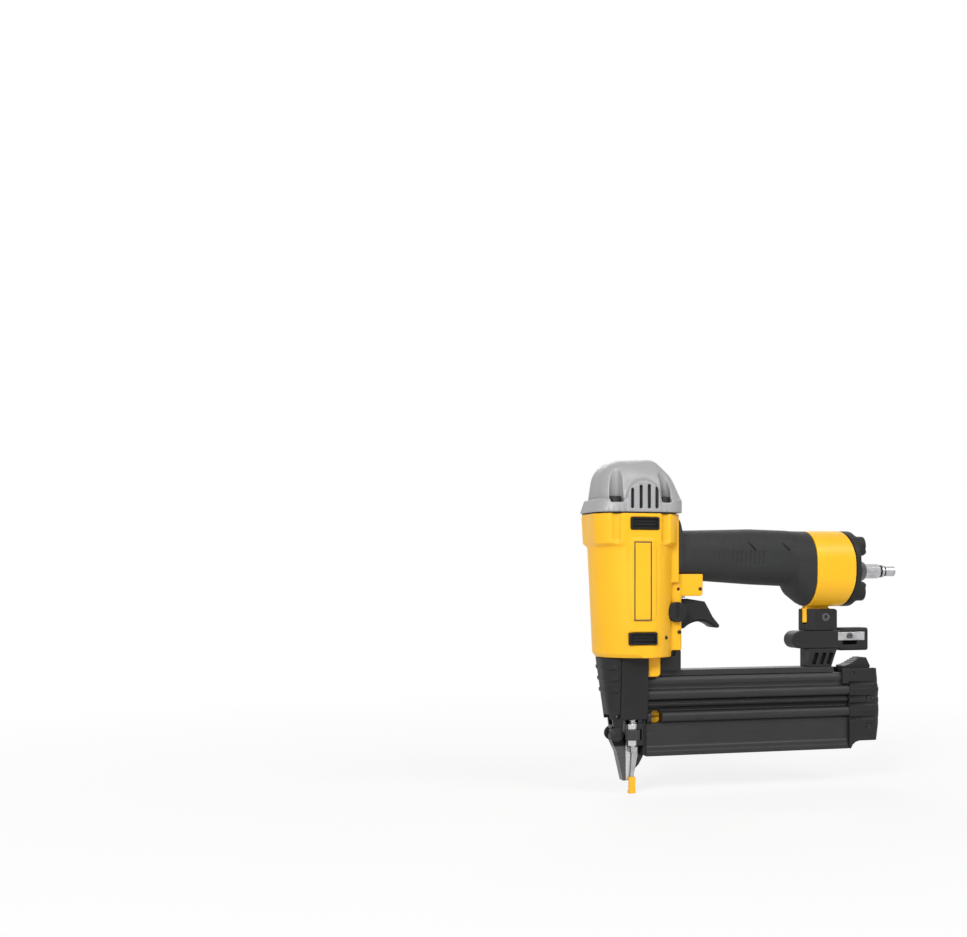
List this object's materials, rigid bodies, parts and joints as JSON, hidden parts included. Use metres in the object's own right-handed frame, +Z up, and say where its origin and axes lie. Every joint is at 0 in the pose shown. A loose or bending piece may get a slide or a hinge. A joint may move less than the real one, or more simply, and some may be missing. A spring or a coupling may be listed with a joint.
{
  "type": "pneumatic nail gun",
  "caption": "Compressed air brad nailer with upright drive cylinder, rubber grip, slanted trigger, long slide-back magazine, depth wheel and swivel belt hook.",
  "frame": {"origin": "on the driver axis, at the level of the soft tip where the nail leaves", "axes": "+Z up along the driver axis to the cylinder cap, +X towards the end of the handle, +Y to the far side"},
  "size_m": [0.256, 0.0624, 0.249],
  "materials": {
    "yellow_paint": "satin",
    "cap_grey": "satin",
    "black_nylon": "matte",
    "black_rubber": "matte",
    "grip_rubber": "matte",
    "black_steel": "satin",
    "bright_steel": "satin",
    "dark_steel": "satin",
    "spring_steel": "satin",
    "aluminium": "satin",
    "black_magazine": "anodised",
    "brass": "satin",
    "yellow_plastic": "matte",
    "grey_plastic": "matte"
  },
  "bodies": {
    "tool_body": {"body_housing": "yellow_paint", "cylinder_cap": "cap_grey", "cap_gasket": "black_rubber", "cap_bolts": "black_steel", "cylinder_sleeve": "aluminium", "sleeve_rings": "black_rubber", "bumper": "black_rubber", "grip_sleeve": "grip_rubber", "side_pads": "black_rubber", "end_cap": "black_nylon", "end_gasket": "black_rubber", "end_bolts": "dark_steel", "air_plug": "bright_steel", "valve_body": "brass", "valve_rings": "black_rubber", "cross_pins": "black_steel", "nose_guide": "dark_steel", "nose_bolts": "dark_steel", "nose_boot": "black_nylon", "latch_pin": "bright_steel", "door_pin": "bright_steel", "magazine_rail": "black_magazine", "rail_block": "black_nylon", "rear_bracket": "black_nylon", "bracket_screw": "black_steel", "magazine_foot": "black_nylon", "foot_bolt": "dark_steel", "head_valve_spring": "spring_steel", "valve_spring": "spring_steel", "contact_spring": "spring_steel"},
    "head_valve_unit": {"head_valve": "black_nylon", "head_valve_ring": "black_rubber"},
    "driver_unit": {"piston": "aluminium", "piston_ring": "black_rubber", "driver_blade": "bright_steel"},
    "trigger_unit": {"trigger": "black_nylon", "trigger_lever": "dark_steel", "lever_pin": "bright_steel"},
    "stem_unit": {"valve_stem": "bright_steel"},
    "selector_unit": {"mode_selector": "black_nylon", "selector_shaft": "dark_steel"},
    "link_unit": {"contact_link": "bright_steel"},
    "wheel_unit": {"depth_wheel": "grey_plastic"},
    "foot_unit": {"contact_foot": "bright_steel", "soft_tip": "yellow_plastic"},
    "latch_unit": {"jam_latch": "black_nylon"},
    "door_unit": {"nose_door": "dark_steel"},
    "magazine_unit": {"magazine_channel": "black_magazine", "magazine_tail": "black_nylon", "tail_screws": "dark_steel", "tail_pin": "dark_steel", "tail_spring": "spring_steel"},
    "magazine_latch_unit": {"magazine_latch": "black_nylon"},
    "pusher_unit": {"pusher": "yellow_plastic", "pusher_coil": "spring_steel"},
    "hook_unit": {"belt_hook": "black_nylon", "sharpener_blade": "bright_steel", "blade_screw": "dark_steel"}
  },
  "joints": [
    {"name": "head_valve_lift", "type": "slide", "parent": "tool_body", "child": "head_valve_unit", "axis": [0, 0, 1], "range_m": [0, 0.004], "stiffness_N_per_m": 900, "springref_m": -0.004, "deforming": ["head_valve_spring"]},
    {"name": "driver_stroke", "type": "slide", "parent": "tool_body", "child": "driver_unit", "axis": [0, 0, -1], "range_m": [0, 0.074]},
    {"name": "trigger_pull", "type": "hinge", "parent": "tool_body", "child": "trigger_unit", "pos_m": [0.031, 0, 0.1352], "axis": [0, -1, 0], "range_deg": [0, 7], "stiffness_Nm_per_rad": 0.6, "springref_deg": -5.73},
    {"name": "stem_push", "type": "slide", "parent": "tool_body", "child": "stem_unit", "axis": [0, 0, 1], "range_m": [0, 0.0015], "stiffness_N_per_m": 300, "springref_m": -0.003, "deforming": ["valve_spring"]},
    {"name": "selector_turn", "type": "hinge", "parent": "tool_body", "child": "selector_unit", "pos_m": [0.031, 0, 0.1352], "axis": [0, 1, 0], "range_deg": [0, 60]},
    {"name": "contact_slide", "type": "slide", "parent": "tool_body", "child": "link_unit", "axis": [0, 0, 1], "range_m": [0, 0.005], "stiffness_N_per_m": 500, "springref_m": -0.006, "deforming": ["contact_spring"]},
    {"name": "wheel_turn", "type": "hinge", "parent": "link_unit", "child": "wheel_unit", "pos_m": [-0.001, -0.01, 0.04425], "axis": [0, 0, 1], "range_deg": [-360, 360]},
    {"name": "depth_slide", "type": "slide", "parent": "link_unit", "child": "foot_unit", "axis": [0, 0, 1], "range_m": [-0.00125, 0.00125]},
    {"name": "jam_latch_open", "type": "hinge", "parent": "tool_body", "child": "latch_unit", "pos_m": [-0.0134, 0, 0.0584], "axis": [0, -1, 0], "range_deg": [0, 50]},
    {"name": "nose_door_open", "type": "hinge", "parent": "tool_body", "child": "door_unit", "pos_m": [-0.011, 0, 0.0435], "axis": [0, 1, 0], "range_deg": [0, 35]},
    {"name": "magazine_slide", "type": "slide", "parent": "tool_body", "child": "magazine_unit", "axis": [1, 0, 0], "range_m": [0, 0.12]},
    {"name": "magazine_latch_press", "type": "hinge", "parent": "magazine_unit", "child": "magazine_latch_unit", "pos_m": [0.1798, 0, 0.0857], "axis": [0, 1, 0], "range_deg": [0, 8], "stiffness_Nm_per_rad": 0.4, "springref_deg": -5.73, "deforming": ["tail_spring"]},
    {"name": "pusher_slide", "type": "slide", "parent": "magazine_unit", "child": "pusher_unit", "axis": [1, 0, 0], "range_m": [0, 0.13], "stiffness_N_per_m": 25, "springref_m": -0.1},
    {"name": "hook_swivel", "type": "hinge", "parent": "tool_body", "child": "hook_unit", "pos_m": [0.1553, 0, 0.1126], "axis": [0, 0, 1], "range_deg": [-90, 90]}
  ],
  "couplings": [
    {"joint": "wheel_turn", "follows": "depth_slide", "rad_per_m": 5026.5}
  ]
}
